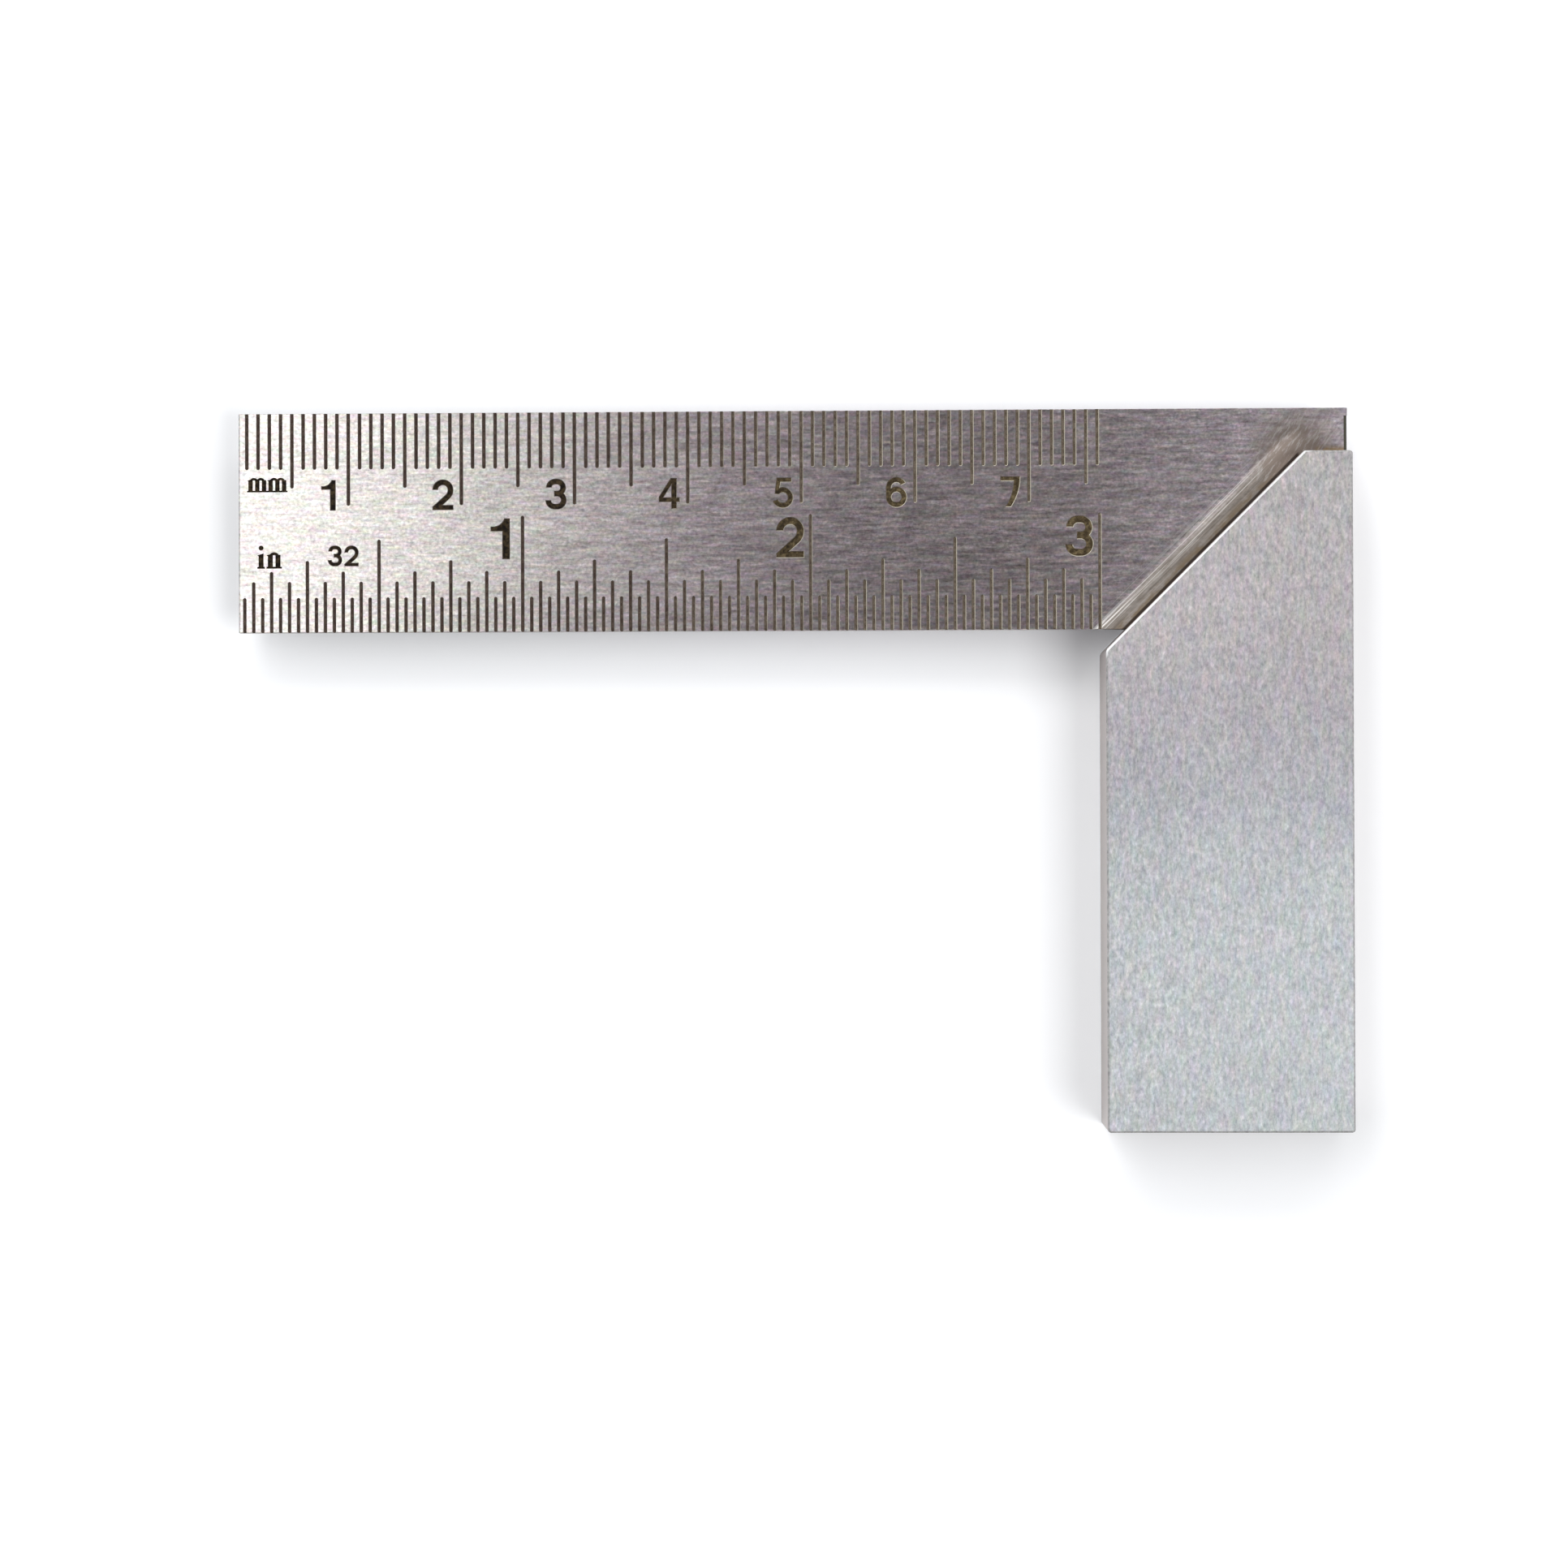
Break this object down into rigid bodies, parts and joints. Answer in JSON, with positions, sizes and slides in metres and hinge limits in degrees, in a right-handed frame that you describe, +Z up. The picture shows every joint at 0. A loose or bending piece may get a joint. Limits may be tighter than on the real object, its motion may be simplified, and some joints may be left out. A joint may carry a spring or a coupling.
{
  "type": "steel square ruler",
  "caption": "Small try square: a thin steel rule etched with metric and inch scales, soldered into the slot of a thick mitred steel stock.",
  "frame": {"origin": "centre of the bounding box at the stock's lower face, on which the square lies", "axes": "+X along the blade from its free end towards the stock, +Y from the stock's foot towards the blade's outer (millimetre) edge, +Z up out of the scale face"},
  "size_m": [0.0976, 0.0632, 0.008],
  "materials": {
    "blade_steel": "bright stainless steel, brushed along the blade",
    "plated_steel": "bright zinc plate over ground steel, finely mottled",
    "solder": "dull soft solder",
    "pin_steel": "ground flush",
    "mark_enamel": "thin dark brown-black etching enamel"
  },
  "bodies": {
    "root": {"blade": "blade_steel", "stock": "plated_steel", "solder_film": "solder", "blade_pin_1": "pin_steel", "blade_pin_2": "pin_steel", "blade_pin_3": "pin_steel", "mm_line_fill": "mark_enamel", "inch_line_fill": "mark_enamel", "cm_numeral_fill": "mark_enamel", "inch_numeral_fill": "mark_enamel", "unit_label_fill": "mark_enamel"}
  },
  "joints": []
}
